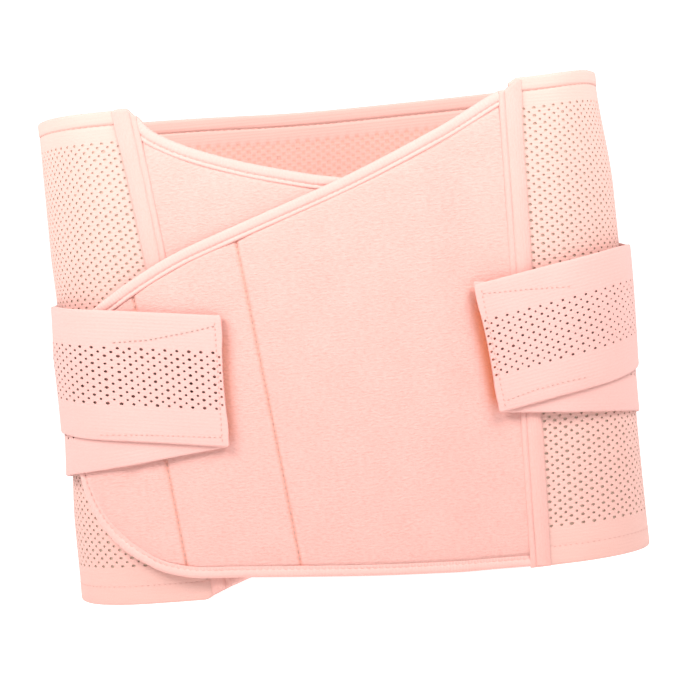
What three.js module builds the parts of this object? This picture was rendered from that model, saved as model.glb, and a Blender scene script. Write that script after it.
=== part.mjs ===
import * as THREE from 'three';

// A postpartum belly band, fastened into a loop and standing on its lower rim.
// Millimetres, +Z up. The front faces -Y and the viewer's right is +X.
//
// Every piece is a wall on one oval loop. A point of a wall has three measures:
// u, the way along the loop from the middle of the front, positive to the viewer's right,
// z, the height above the rim, and out, the distance outwards from the loop's inner face.

const { lerp, smoothstep } = THREE.MathUtils;

// The loop: an oval of two flat arcs and two round sides, closer at the top than at the rim
const HEIGHT = 245;
const WIDTH_LOW = 294;
const WIDTH_HIGH = 290;
const DEPTH_LOW = 118;
const DEPTH_HIGH = 94;
const FACE_BOW = 8;

// How far the round sides give outwards at a height, and the reach from the front's middle
// over which that comes and goes
const LEFT_GIVE = [
  { at: 35, value: -1.1 },
  { at: 90, value: -3.8 },
  { at: 150, value: -2.5 },
  { at: 180, value: -1.5 },
];
const RIGHT_GIVE = [
  { at: 0, value: 0.4 },
  { at: 130, value: 1.6 },
  { at: 185, value: 2 },
  { at: 245, value: -2.3 },
];
const GIVE_COMES = { from: 116, to: 158 };
const GIVE_GOES = { from: 185, to: 235 };

// Thickness of the cloths and the gap that layers keep
const MESH_THICK = 1.8;
const HEM_THICK = 2.3;
const FLAP_THICK = 2.2;
const BINDING_RISE = 0.5;
const CHANNEL_THICK = 1.2;
const BAND_THICK = 1.2;
const PAD_THICK = 1.0;
const GAP = 0.35;

// Hems of the mesh and tape round the flaps
const HEM_TOP = 7;
const HEM_BOTTOM = 9;
const HEM_STEP = 0.6;
const BINDING_WIDTH = 7.2;
const SEAM_DEPTH = 0.9;
const SEAM_HALF_WIDTH = 0.06;

// The bone channels: u of the middle line at the rim and at the top, heights of the top and of
// the foot's two corners, the side of the flap, and where and how far the top falls to that side
const CHANNEL_WIDTH = 10.8;
const CHANNEL_HALF = CHANNEL_WIDTH / 2;
const CHANNEL_EDGE = 1.2;
const LEFT_CHANNEL = {
  low: -72,
  high: -93,
  topZ: 247,
  footZ: { left: 1.9, right: 5.9 },
  flapSide: 1,
  topDrop: 4.5,
  dropFrom: 0.5,
};
const RIGHT_CHANNEL = {
  low: 90.8,
  high: 92.8,
  topZ: 243,
  footZ: { left: 0, right: 0 },
  flapSide: -1,
  topDrop: 5,
  dropFrom: -CHANNEL_HALF,
};
const CHANNEL_OUT = FLAP_THICK + BINDING_RISE + GAP;

// The straps: width of the elastic, and where the bands end at the back
const BAND_WIDTH = 64.5;
const BAND_END = 338;
const BAND_SETTLE = 13;

// Spacing of sections along the loop, on the round sides and on the flat faces
const ROUND_STEP = 5;
const FLAT_STEP = 13;

// Height of the upper hem and of the rim along the loop, counted on from the right bone channel
const TOP_EDGE = [
  { at: 91, value: 239.6 },
  { at: 99, value: 242.5 },
  { at: 150, value: 244.5 },
  { at: 250, value: HEIGHT },
  { at: 440, value: HEIGHT },
  { at: 540, value: 245.5 },
  { at: 605, value: 246.5 },
];
const RIM_EDGE = [
  { at: 606, value: 0 },
  { at: 618, value: 4.5 },
];

// Edges of the flaps, a row for each section from the bone channel to the free end
const UNDER_FLAP_SECTIONS = [
  { lowU: -69.5, lowZ: 5, highU: -91, highZ: 242.5 },
  { lowU: -64.5, lowZ: 6.5, highU: -87, highZ: 242.3 },
  { lowU: -57, lowZ: 9, highU: -80, highZ: 233.8 },
  { lowU: -46, lowZ: 11.8, highU: -62, highZ: 223.6 },
  { lowU: -28, lowZ: 14, highU: -36, highZ: 213.6 },
  { lowU: -4, lowZ: 15.5, highU: -8, highZ: 205.4 },
  { lowU: 18, lowZ: 19, highU: 16, highZ: 199 },
  { lowU: 36, lowZ: 34, highU: 35, highZ: 184 },
  { lowU: 44, lowZ: 66, highU: 44, highZ: 150 },
];
const OVER_FLAP_SECTIONS = [
  { lowU: 90, lowZ: 0.6, highU: 92, highZ: 237 },
  { lowU: 83, lowZ: 0.7, highU: 85, highZ: 236.7 },
  { lowU: 50, lowZ: 2, highU: 55, highZ: 221.4 },
  { lowU: 10, lowZ: 4.4, highU: 10, highZ: 202.4 },
  { lowU: -30.5, lowZ: 7.3, highU: -46.5, highZ: 182.8, seam: true },
  { lowU: -62, lowZ: 10, highU: -76, highZ: 172.5 },
  { lowU: -88, lowZ: 12.2, highU: -100, highZ: 161, seam: true },
  { lowU: -108, lowZ: 19.4, highU: -117, highZ: 151 },
  { lowU: -124, lowZ: 34.5, highU: -130, highZ: 142 },
  { lowU: -135.7, lowZ: 55.2, highU: -139, highZ: 129 },
  { lowU: -143, lowZ: 84, highU: -143, highZ: 109 },
];
const SECTION_STEPS = 3;

// Rows of faces up a piece
const MESH_ROWS = 10;
const FLAP_ROWS = 6;
const CHANNEL_ROWS = 4;
const BAND_ROWS = 4;
const PAD_ROWS = 2;

// How far outwards the inner face of the over flap lies, from its free end to its channel
const OVER_FLAP_LIFT = [
  { at: -143, value: 3.6 },
  { at: -112, value: 3.6 },
  { at: -102, value: 4.6 },
  { at: -70, value: 4.6 },
  { at: -38, value: 3.1 },
  { at: 46, value: 3.1 },
  { at: 70, value: 0 },
  { at: 94, value: 0 },
];

// Section of the binding tape: across from its outer edge, and up from its inner face
const BINDING_TOP = FLAP_THICK + BINDING_RISE;
const BINDING_SECTION = [
  { across: 0.9, up: 0 },
  { across: BINDING_WIDTH - 0.3, up: 0 },
  { across: BINDING_WIDTH, up: 0.4 },
  { across: BINDING_WIDTH, up: BINDING_TOP - 0.5 },
  { across: BINDING_WIDTH - 0.6, up: BINDING_TOP },
  { across: 1.4, up: BINDING_TOP },
  { across: 0.2, up: BINDING_TOP - 0.7 },
  { across: 0, up: 0.8 },
];

// The two pairs of bands. Tip corners at the front, rise of each band on its way to the back,
// and how far outwards the lower band lies: low down, high up, and the heights between which
// the one changes to the other
const STRAPS = [
  {
    name: 'left_strap',
    side: -1,
    tip: { lowU: 60, lowZ: 74.8, highU: 57 },
    upperRise: 0.145,
    lowerRise: -0.1,
    liftFromZ: 125,
    liftToZ: 158,
    liftLow: [
      { at: 56, value: 7.8 },
      { at: 74, value: 8.6 },
      { at: 104, value: 8.6 },
      { at: 120, value: 7.3 },
      { at: 148, value: 6.9 },
      { at: 161, value: 3.6 },
      { at: 173, value: 2.3 },
      { at: BAND_END, value: MESH_THICK + GAP },
    ],
    liftHigh: [
      { at: 56, value: 7.8 },
      { at: 74, value: 8.6 },
      { at: 102, value: 8.6 },
      { at: 118, value: 7.3 },
      { at: 130, value: 6.9 },
      { at: 152, value: 2.8 },
      { at: 165, value: 2.3 },
      { at: BAND_END, value: MESH_THICK + GAP },
    ],
    pad: { nearU: 63, farU: 104, lowZ: 84, highZ: 132, thick: PAD_THICK },
  },
  {
    name: 'right_strap',
    side: 1,
    tip: { lowU: 75.5, lowZ: 78.3, highU: 67.5 },
    upperRise: 0.163,
    lowerRise: -0.102,
    liftFromZ: 80,
    liftToZ: 155,
    liftLow: [
      { at: 66, value: 4.9 },
      { at: 80, value: 4.7 },
      { at: 102, value: 4.65 },
      { at: 125, value: 3.6 },
      { at: 150, value: 2.6 },
      { at: 173, value: 2.3 },
      { at: BAND_END, value: MESH_THICK + GAP },
    ],
    liftHigh: [
      { at: 66, value: 4.9 },
      { at: 80, value: 4.7 },
      { at: 125, value: 4.7 },
      { at: 150, value: 4.8 },
      { at: 175, value: 4.6 },
      { at: 205, value: 3.4 },
      { at: 240, value: 2.3 },
      { at: BAND_END, value: MESH_THICK + GAP },
    ],
    pad: { nearU: 77.5, farU: 85.2, lowZ: 86, highZ: 134, thick: 1.7 },
  },
];
const BAND_GAP = 0.5;
const BAND_LIFT = BAND_THICK + BAND_GAP;

// The fastener under the free end of the over flap
const FLAP_PAD = { fromU: -134, toU: -108, lowZ: 66, highZ: 124 };

// Colours
const PEACH = 0xf9cfc0;
const PALE_PEACH = 0xfbdccf;
const CREAM = 0xfde6da;
const SALMON = 0xf6c4b4;

// Roughness of the finishes
const KNIT = 0.85;
const TAPE = 0.8;
const BRUSHED = 0.95;
const SMOOTH_TAPE = 0.75;
const HOOKS = 0.9;

function planAt(z) {
  // The oval at one height: side arcs of one radius, joined by wide arcs in front and behind
  const halfWidth = lerp(WIDTH_LOW, WIDTH_HIGH, z / HEIGHT) / 2;
  const halfDepth = lerp(DEPTH_LOW, DEPTH_HIGH, z / HEIGHT) / 2;
  const sideRadius = halfDepth - FACE_BOW;
  const sideCentre = halfWidth - sideRadius;
  const faceRadius = (sideCentre ** 2 + halfDepth ** 2 - sideRadius ** 2) / (2 * FACE_BOW);
  const faceAngle = Math.asin(sideCentre / (faceRadius - sideRadius));
  return { halfDepth, sideRadius, sideCentre, faceRadius, faceAngle };
}

const MIDDLE = planAt(HEIGHT / 2);
const FACE_LENGTH = MIDDLE.faceRadius * MIDDLE.faceAngle;
const SIDE_LENGTH = MIDDLE.sideRadius * (Math.PI - 2 * MIDDLE.faceAngle);
const LOOP = 4 * FACE_LENGTH + 2 * SIDE_LENGTH;

function place(u, z, layer) {
  // The point in space of a place on the loop
  const plan = planAt(z);
  const along = u - LOOP * Math.round(u / LOOP);
  const side = along < 0 ? -1 : 1;
  const reach = Math.abs(along);
  const comes = smoothstep(reach, GIVE_COMES.from, GIVE_COMES.to);
  const goes = smoothstep(reach, GIVE_GOES.from, GIVE_GOES.to);
  const out = layer + (comes - goes) * tableAt(side < 0 ? LEFT_GIVE : RIGHT_GIVE, z);
  const faceCentre = plan.faceRadius - plan.halfDepth;
  const faceOut = plan.faceRadius + out;
  const sideOut = plan.sideRadius + out;
  if (reach <= FACE_LENGTH) {
    const angle = plan.faceAngle * (reach / FACE_LENGTH);
    return [side * faceOut * Math.sin(angle), faceCentre - faceOut * Math.cos(angle), z];
  }
  if (reach <= FACE_LENGTH + SIDE_LENGTH) {
    const share = (reach - FACE_LENGTH) / SIDE_LENGTH;
    const angle = lerp(plan.faceAngle, Math.PI - plan.faceAngle, share);
    return [side * (plan.sideCentre + sideOut * Math.sin(angle)), -sideOut * Math.cos(angle), z];
  }
  const angle = plan.faceAngle * ((LOOP / 2 - reach) / FACE_LENGTH);
  return [side * faceOut * Math.sin(angle), faceOut * Math.cos(angle) - faceCentre, z];
}

function stations(from, to) {
  // Places along the loop, close together on the round sides and further apart on the faces
  const list = [from];
  for (let u = from; ; ) {
    const reach = Math.abs(u - LOOP * Math.round(u / LOOP));
    const nearSide = reach > FACE_LENGTH - FLAT_STEP && reach < FACE_LENGTH + SIDE_LENGTH;
    u += nearSide ? ROUND_STEP : FLAT_STEP;
    if (u > to - ROUND_STEP / 2) {
      break;
    }
    list.push(u);
  }
  list.push(to);
  return list;
}

function tableAt(table, at) {
  // The value of a table at a place, with a soft change from row to row
  const last = table.length - 1;
  const next = table.findIndex((row) => row.at >= at);
  if (next === 0) {
    return table[0].value;
  }
  if (next < 0) {
    return table[last].value;
  }
  const before = table[next - 1];
  const after = table[next];
  return lerp(before.value, after.value, smoothstep(at, before.at, after.at));
}

function solid(points, triangles) {
  const geometry = new THREE.BufferGeometry();
  geometry.setAttribute('position', new THREE.Float32BufferAttribute(points.flat(), 3));
  geometry.setIndex(triangles.flat());
  geometry.computeVertexNormals();
  return geometry;
}

function evenShares(count) {
  return Array.from({ length: count + 1 }, (_, index) => index / count);
}

function quad(a, b, c, d) {
  return [a, b, c, a, c, d];
}

function wall(columns, rows, innerAt, outerAt) {
  // A closed wall: columns follow each other along the loop, and rows are shares of a column
  const points = [];
  columns.forEach((column, index) => {
    rows.forEach((share) => {
      const u = lerp(column.low.x, column.high.x, share);
      const z = lerp(column.low.y, column.high.y, share);
      const inner = innerAt(u, z, index);
      points.push(place(u, z, inner), place(u, z, outerAt(u, z, index, inner)));
    });
  });
  const lastColumn = columns.length - 1;
  const lastRow = rows.length - 1;
  const inner = (i, j) => 2 * (i * rows.length + j);
  const outer = (i, j) => inner(i, j) + 1;
  const triangles = [];
  for (let i = 0; i < lastColumn; i += 1) {
    for (let j = 0; j < lastRow; j += 1) {
      triangles.push(quad(outer(i, j), outer(i + 1, j), outer(i + 1, j + 1), outer(i, j + 1)));
      triangles.push(quad(inner(i, j), inner(i, j + 1), inner(i + 1, j + 1), inner(i + 1, j)));
    }
    triangles.push(quad(inner(i, 0), inner(i + 1, 0), outer(i + 1, 0), outer(i, 0)));
    triangles.push(
      quad(outer(i, lastRow), outer(i + 1, lastRow), inner(i + 1, lastRow), inner(i, lastRow)),
    );
  }
  for (let j = 0; j < lastRow; j += 1) {
    triangles.push(quad(inner(0, j), outer(0, j), outer(0, j + 1), inner(0, j + 1)));
    triangles.push(
      quad(
        outer(lastColumn, j),
        inner(lastColumn, j),
        inner(lastColumn, j + 1),
        outer(lastColumn, j + 1),
      ),
    );
  }
  return solid(points, triangles);
}

function plainColumn(u, lowZ, highZ) {
  return { low: new THREE.Vector2(u, lowZ), high: new THREE.Vector2(u, highZ) };
}

function flapOutline(sections, startsAtTop) {
  // The free edge of a flap, anticlockwise as seen from the front, from channel to channel
  const low = sections.map((row) => new THREE.Vector2(row.lowU, row.lowZ));
  const high = sections.map((row) => new THREE.Vector2(row.highU, row.highZ));
  const first = startsAtTop ? high : low;
  const second = startsAtTop ? low : high;
  return new THREE.SplineCurve([...first, ...second.reverse()]);
}

function inwards(outline, t, distance) {
  // A place beside the outline, on the flap's side of it
  const tangent = outline.getTangent(t);
  const beside = new THREE.Vector2(-tangent.y, tangent.x);
  return outline.getPoint(t).addScaledVector(beside, distance);
}

function sectionShares(sections) {
  // Positions on the outline for the columns of a flap, with two more beside each seam
  const spans = 2 * sections.length - 1;
  const shares = [];
  sections.forEach((row, index) => {
    if (row.seam) {
      shares.push({ t: (index - SEAM_HALF_WIDTH) / spans });
    }
    shares.push({ t: index / spans, seam: Boolean(row.seam) });
    if (row.seam) {
      shares.push({ t: (index + SEAM_HALF_WIDTH) / spans });
    }
    if (index < sections.length - 1) {
      for (let step = 1; step < SECTION_STEPS; step += 1) {
        shares.push({ t: (index + step / SECTION_STEPS) / spans });
      }
    }
  });
  return shares;
}

function flap(sections, startsAtTop, liftAt) {
  // The padded panel inside its binding, with a groove along each seam
  const outline = flapOutline(sections, startsAtTop);
  const inset = BINDING_WIDTH + GAP;
  const columns = sectionShares(sections).map(({ t, seam }) => {
    const first = inwards(outline, t, inset);
    const second = inwards(outline, 1 - t, inset);
    return startsAtTop ? { low: second, high: first, seam } : { low: first, high: second, seam };
  });
  if (startsAtTop) {
    columns.reverse();
  }
  const thickAt = (index) => FLAP_THICK - (columns[index].seam ? SEAM_DEPTH : 0);
  return wall(
    columns,
    evenShares(FLAP_ROWS),
    (u) => liftAt(u),
    (u, z, index, inner) => inner + thickAt(index),
  );
}

function binding(sections, startsAtTop, liftAt) {
  // The tape: its section carried along the free edge of the flap
  const outline = flapOutline(sections, startsAtTop);
  const steps = (2 * sections.length - 1) * SECTION_STEPS;
  const corners = BINDING_SECTION.length;
  const points = [];
  for (let step = 0; step <= steps; step += 1) {
    BINDING_SECTION.forEach(({ across, up }) => {
      const beside = inwards(outline, step / steps, across);
      points.push(place(beside.x, beside.y, liftAt(beside.x) + up));
    });
  }
  const triangles = [];
  for (let step = 0; step < steps; step += 1) {
    for (let k = 0; k < corners; k += 1) {
      const here = step * corners + k;
      const beside = step * corners + ((k + 1) % corners);
      triangles.push(quad(here, beside, beside + corners, here + corners));
    }
  }
  const end = steps * corners;
  for (let k = 1; k < corners - 1; k += 1) {
    triangles.push([0, k + 1, k], [end, end + k, end + k + 1]);
  }
  return solid(points, triangles);
}

function meshWrap() {
  // From the right channel round the back to the left one, thicker along both hems
  const fromLow = RIGHT_CHANNEL.low + GAP / 2;
  const fromHigh = RIGHT_CHANNEL.high + GAP / 2;
  const toLow = LOOP + LEFT_CHANNEL.low - GAP / 2;
  const toHigh = LOOP + LEFT_CHANNEL.high - GAP / 2;
  const columns = stations(fromLow, toLow).map((u) => {
    const highU = lerp(fromHigh, toHigh, (u - fromLow) / (toLow - fromLow));
    return {
      low: new THREE.Vector2(u, tableAt(RIM_EDGE, u)),
      high: new THREE.Vector2(highU, tableAt(TOP_EDGE, highU)),
    };
  });
  const meshFrom = (HEM_BOTTOM + HEM_STEP) / HEIGHT;
  const meshTo = 1 - (HEM_TOP + HEM_STEP) / HEIGHT;
  const meshRows = evenShares(MESH_ROWS).map((share) => lerp(meshFrom, meshTo, share));
  const rows = [0, HEM_BOTTOM / HEIGHT, ...meshRows, 1 - HEM_TOP / HEIGHT, 1];
  const hemTopFrom = HEIGHT - HEM_TOP - HEM_STEP / 2;
  const hemBottomTo = HEM_BOTTOM + HEM_STEP / 2;
  return wall(
    columns,
    rows,
    () => 0,
    (u, z) => {
      const below = HEIGHT - tableAt(TOP_EDGE, u);
      const above = tableAt(RIM_EDGE, u);
      return z - above < hemBottomTo || z + below > hemTopFrom ? HEM_THICK : MESH_THICK;
    },
  );
}

function boneChannel(channel) {
  // A strip with soft edges over the join of mesh and flap
  const inside = CHANNEL_HALF - CHANNEL_EDGE;
  const offsets = [-CHANNEL_HALF, -inside, 0, inside, CHANNEL_HALF];
  const columns = offsets.map((offset) => {
    const share = smoothstep(offset * channel.flapSide, channel.dropFrom, CHANNEL_HALF);
    const footShare = (offset + CHANNEL_HALF) / CHANNEL_WIDTH;
    const footZ = lerp(channel.footZ.left, channel.footZ.right, footShare);
    return {
      low: new THREE.Vector2(channel.low + offset, footZ),
      high: new THREE.Vector2(channel.high + offset, channel.topZ - channel.topDrop * share),
    };
  });
  const edgeThick = CHANNEL_THICK / 2;
  const last = offsets.length - 1;
  return wall(
    columns,
    evenShares(CHANNEL_ROWS),
    () => CHANNEL_OUT,
    (u, z, index, inner) => inner + (index === 0 || index === last ? edgeThick : CHANNEL_THICK),
  );
}

function bandEdges(tip, rise) {
  // A band's lower and upper edge as heights at a distance from the front's middle
  const tall = BAND_WIDTH * Math.hypot(1, rise);
  const lowAt = (reach) => tip.lowZ + rise * (reach - tip.lowU);
  return { lowAt, highAt: (reach) => lowAt(reach) + tall };
}

function bandLift(strap, u, z) {
  const reach = Math.abs(u);
  const share = smoothstep(z, strap.liftFromZ, strap.liftToZ);
  return lerp(tableAt(strap.liftLow, reach), tableAt(strap.liftHigh, reach), share);
}

function band(strap, rise, isUpper) {
  // One elastic band from its tip at the front to its sewn end at the back
  const { lowAt, highAt } = bandEdges(strap.tip, rise);
  const tipSpan = BAND_END - strap.tip.lowU;
  const reaches = stations(strap.tip.lowU, BAND_END);
  const columns = reaches.map((reach) => {
    const highReach = lerp(strap.tip.highU, BAND_END, (reach - strap.tip.lowU) / tipSpan);
    return {
      low: new THREE.Vector2(strap.side * reach, lowAt(reach)),
      high: new THREE.Vector2(strap.side * highReach, highAt(highReach)),
    };
  });
  if (strap.side < 0) {
    columns.reverse();
  }
  const above = (reach) => {
    const settle = smoothstep(BAND_END - reach, 0, BAND_SETTLE);
    return isUpper ? BAND_LIFT * settle : 0;
  };
  return wall(
    columns,
    evenShares(BAND_ROWS),
    (u, z) => bandLift(strap, u, z) + above(Math.abs(u)),
    (u, z, index, inner) => inner + BAND_THICK,
  );
}

function strapPad(strap) {
  // The fastener under a tip, just inside the lower band
  const { nearU, farU, lowZ, highZ, thick } = strap.pad;
  const [from, to] = strap.side < 0 ? [-farU, -nearU] : [nearU, farU];
  const columns = stations(from, to).map((u) => plainColumn(u, lowZ, highZ));
  return wall(
    columns,
    evenShares(PAD_ROWS),
    (u, z) => bandLift(strap, u, z) - GAP - thick,
    (u, z, index, inner) => inner + thick,
  );
}

function flapPad() {
  const { fromU, toU, lowZ, highZ } = FLAP_PAD;
  const columns = stations(fromU, toU).map((u) => plainColumn(u, lowZ, highZ));
  return wall(
    columns,
    evenShares(PAD_ROWS),
    (u) => tableAt(OVER_FLAP_LIFT, u) - GAP - PAD_THICK,
    (u, z, index, inner) => inner + PAD_THICK,
  );
}

function piece(name, geometry, color, roughness) {
  const material = new THREE.MeshStandardMaterial({ color, roughness, metalness: 0 });
  const mesh = new THREE.Mesh(geometry, material);
  mesh.name = name;
  return mesh;
}

const underLift = () => 0;
const overLift = (u) => tableAt(OVER_FLAP_LIFT, u);

const bellyBand = new THREE.Group();
bellyBand.add(
  piece('mesh_wrap', meshWrap(), PALE_PEACH, KNIT),
  piece('left_bone_channel', boneChannel(LEFT_CHANNEL), PEACH, TAPE),
  piece('right_bone_channel', boneChannel(RIGHT_CHANNEL), PEACH, TAPE),
  piece('under_flap', flap(UNDER_FLAP_SECTIONS, false, underLift), PEACH, BRUSHED),
  piece('under_flap_binding', binding(UNDER_FLAP_SECTIONS, false, underLift), CREAM, SMOOTH_TAPE),
  piece('over_flap', flap(OVER_FLAP_SECTIONS, true, overLift), PEACH, BRUSHED),
  piece('over_flap_binding', binding(OVER_FLAP_SECTIONS, true, overLift), CREAM, SMOOTH_TAPE),
  piece('flap_hook_pad', flapPad(), SALMON, HOOKS),
);
STRAPS.forEach((strap) => {
  bellyBand.add(
    piece(`${strap.name}_lower`, band(strap, strap.lowerRise, false), PALE_PEACH, KNIT),
    piece(`${strap.name}_upper`, band(strap, strap.upperRise, true), PALE_PEACH, KNIT),
    piece(`${strap.name}_hook_pad`, strapPad(strap), SALMON, HOOKS),
  );
});

// The origin is the middle of the rim
const middle = new THREE.Box3().setFromObject(bellyBand).getCenter(new THREE.Vector3());
bellyBand.position.set(-middle.x, -middle.y, 0);

export default bellyBand;
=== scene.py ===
import math

import bpy
import numpy as np
from mathutils import Matrix, Vector


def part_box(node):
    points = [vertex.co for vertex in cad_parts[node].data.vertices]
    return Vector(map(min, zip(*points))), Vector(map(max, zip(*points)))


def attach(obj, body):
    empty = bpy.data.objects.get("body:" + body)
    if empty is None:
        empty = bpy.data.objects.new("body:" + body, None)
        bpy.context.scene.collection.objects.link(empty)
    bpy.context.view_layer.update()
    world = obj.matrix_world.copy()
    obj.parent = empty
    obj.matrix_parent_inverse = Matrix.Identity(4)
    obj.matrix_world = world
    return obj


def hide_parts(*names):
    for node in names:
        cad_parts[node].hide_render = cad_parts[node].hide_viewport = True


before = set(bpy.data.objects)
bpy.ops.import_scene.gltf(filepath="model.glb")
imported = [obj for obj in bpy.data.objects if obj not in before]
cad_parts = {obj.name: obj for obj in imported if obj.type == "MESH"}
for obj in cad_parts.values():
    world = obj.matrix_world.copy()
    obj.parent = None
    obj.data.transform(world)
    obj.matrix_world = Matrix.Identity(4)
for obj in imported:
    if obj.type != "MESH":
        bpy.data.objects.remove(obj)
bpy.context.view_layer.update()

# The loop that all cloth lies on, in millimetres: the same oval as the solids
MM = 0.001
HEIGHT = 245.0
WIDTH_LOW, WIDTH_HIGH = 294.0, 290.0
DEPTH_LOW, DEPTH_HIGH = 118.0, 94.0
FACE_BOW = 8.0
LEFT_GIVE = [(35, -1.1), (90, -3.8), (150, -2.5), (180, -1.5)]
RIGHT_GIVE = [(0, 0.4), (130, 1.6), (185, 2.0), (245, -2.3)]
GIVE_COMES, GIVE_GOES = (116, 158), (185, 235)
HEM_SOLID = 2.3
CHANNEL_SOLID = 3.65

# Slow waves of the whole loop: height, turns round the loop, length upwards and phase
WAVES = [(0.34, 5, 41, 0.0), (0.26, 9, -57, 1.3), (0.18, 14, 23, 0.4)]

# Thickness of the cloths, the lift of one strap over the other and the gap that layers keep
FLAP_THICK = 2.2
BAND_THICK = 1.2
BAND_LIFT = 1.7
GAP = 0.35

# Height of the upper hem and of the rim along the loop, from the right channel round the back
TOP_EDGE = [
    (91, 240.6), (98, 243.6), (150, 246), (250, 245),
    (335, 245), (440, 247.8), (540, 247.3), (605, 246.5),
]
RIM_EDGE = [(606, 0.0), (618, 4.5)]

# Flap edges: low u, low z, high u, high z, a row for each section from channel to free end
UNDER_ROWS = [
    (-69.5, 5, -91, 242.5), (-64.5, 6.5, -87, 242.3), (-57, 9, -80, 233.8),
    (-46, 11.8, -62, 223.6), (-28, 14, -36, 213.6), (-4, 15.5, -8, 205.4),
    (18, 19, 16, 199), (36, 34, 35, 184), (44, 66, 44, 150),
]
OVER_ROWS = [
    (90, 0.6, 92, 237), (83, 0.7, 85, 236.7), (50, 2, 55, 221.4), (10, 4.4, 10, 202.4),
    (-30.5, 7.3, -46.5, 182.8), (-62, 10, -76, 172.5), (-88, 12.2, -100, 161),
    (-108, 19.4, -117, 151), (-124, 34.5, -130, 142), (-135.7, 55.2, -139, 129),
    (-143, 84, -143, 109),
]
OVER_SEAMS = [4, 6]

# How far out a flap's inner face lies by u, and each flap's rows, whether its edge starts on top, lift
UNDER_LIFT = [(-100, 0.0), (100, 0.0)]
OVER_LIFT = [(-143, 3.6), (-112, 3.6), (-102, 4.6), (-70, 4.6), (-38, 3.1), (46, 3.1), (70, 0), (94, 0)]
UNDER_FLAP = (UNDER_ROWS, False, UNDER_LIFT)
OVER_FLAP = (OVER_ROWS, True, OVER_LIFT)
PADDING = 0.25

# Bone channels: u of the middle line at the rim and at the top, height of the top, heights of the
# foot's corners, side of the flap, and the offsets between which the top falls, and how far
CHANNEL_HALF = 5.4
LEFT_CHANNEL = {
    "middle": (-72.0, -93.0), "top": 247.0, "foot": (1.9, 5.9), "flap": 1, "fall": (0.8, 5.4, 4.5),
}
RIGHT_CHANNEL = {
    "middle": (90.8, 92.8), "top": 243.0, "foot": (0.0, 0.0), "flap": -1, "fall": (-5.4, 3.5, 5.5),
}
CHANNEL_BASE = 2.4

# Straps: the tip's lower corner and the u of its upper one, the rise of each band per length, how far
# out the lower band lies by reach, below and above the heights lift_z, how far the tip curls away, how
# deep the shade painted on the flap before its tip is, how deep the shade painted on its holes' inner
# rims is, the holes' size, and the pad: two u, two z and its thickness
BAND_WIDTH = 64.5
BAND_END = 338.0
BAND_SETTLE = 13.0
STRAPS = {
    "left": {
        "side": -1, "low_u": 60.0, "low_z": 74.8, "high_u": 57.0, "upper": 0.145, "lower": -0.1,
        "low_lift": [
            (56, 7.8), (74, 8.6), (104, 8.6), (120, 7.3), (148, 6.9), (161, 3.6), (173, 2.3), (338, 2.15),
        ],
        "high_lift": [
            (56, 7.8), (74, 8.6), (102, 8.6), (118, 7.3), (130, 6.9), (152, 2.8), (165, 2.3), (338, 2.15),
        ],
        "lift_z": (125, 158), "curl": 0.4, "shade": 0.45, "dark": 0.9, "holes": 1.0,
        "pad": (63, 104, 84, 132, 1.0),
    },
    "right": {
        "side": 1, "low_u": 75.5, "low_z": 78.3, "high_u": 67.5, "upper": 0.163, "lower": -0.102,
        "low_lift": [
            (66, 4.9), (80, 4.7), (102, 4.65), (125, 3.6), (150, 2.6), (173, 2.3), (338, 2.15),
        ],
        "high_lift": [
            (66, 4.9), (80, 4.7), (125, 4.7), (150, 4.8), (175, 4.6), (205, 3.4), (240, 2.3), (338, 2.15),
        ],
        "lift_z": (80, 155), "curl": 0.6, "shade": 1.0, "dark": 0.35, "holes": 0.88,
        "pad": (77.5, 85.2, 86, 134, 1.7),
    },
}
FLAP_PAD = (-134, -108, 66, 124, 1.0)


def eased(rows, u):
    """Value at u of a table of (u, value) rows. Between two rows it changes by 3t^2 - 2t^3."""
    rows = np.asarray(rows, float)
    k = np.clip(np.searchsorted(rows[:, 0], u) - 1, 0, len(rows) - 2)
    t = np.clip((u - rows[k, 0]) / (rows[k + 1, 0] - rows[k, 0]), 0, 1)
    return rows[k, 1] + (rows[k + 1, 1] - rows[k, 1]) * t * t * (3 - 2 * t)


def smooth(x, low, high):
    """0 below low, 1 above high, and 3t^2 - 2t^3 between them."""
    t = np.clip((x - low) / (high - low), 0, 1)
    return t * t * (3 - 2 * t)


def bell(away, high, wide):
    """high at 0, falling to both sides by e to the power of minus the square of away by wide."""
    return high * np.exp(-((away / wide) ** 2))


def rounded(edge, radius, least):
    """Share of the full thickness by the distance from an edge: a quarter circle up to the radius. The
    square of the share is nowhere under least."""
    return np.sqrt(np.clip(1 - (1 - np.clip(edge / radius, 0, 1)) ** 2, least, 1))


def plan_at(z):
    """The oval at a height: side arcs of one radius joined by wide arcs in front and behind."""
    share = z / HEIGHT
    half_width = (WIDTH_LOW + (WIDTH_HIGH - WIDTH_LOW) * share) / 2
    half_depth = (DEPTH_LOW + (DEPTH_HIGH - DEPTH_LOW) * share) / 2
    side_radius = half_depth - FACE_BOW
    side_centre = half_width - side_radius
    face_radius = (side_centre**2 + half_depth**2 - side_radius**2) / (2 * FACE_BOW)
    face_angle = np.arcsin(side_centre / (face_radius - side_radius))
    return half_depth, side_radius, side_centre, face_radius, face_angle


_, MID_SIDE, _, MID_FACE, MID_ANGLE = plan_at(HEIGHT / 2)
FACE_LENGTH = MID_FACE * MID_ANGLE
SIDE_LENGTH = MID_SIDE * (math.pi - 2 * MID_ANGLE)
LOOP = 4 * FACE_LENGTH + 2 * SIDE_LENGTH


def swell(u, z):
    """Unevenness of the whole loop: a sum of long sine waves in u and z, under 1 mm, and small
    creases where the left channel meets the rim."""
    a = 2 * math.pi / LOOP
    waves = sum(high * np.sin(turns * a * u + z / length + phase) for high, turns, length, phase in WAVES)
    creases = np.sin(2 * math.pi * (u + 0.4 * z) / 5.0) * np.exp(-(((u + 68) / 7) ** 2) - z / 7)
    return waves + 0.6 * creases


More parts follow.
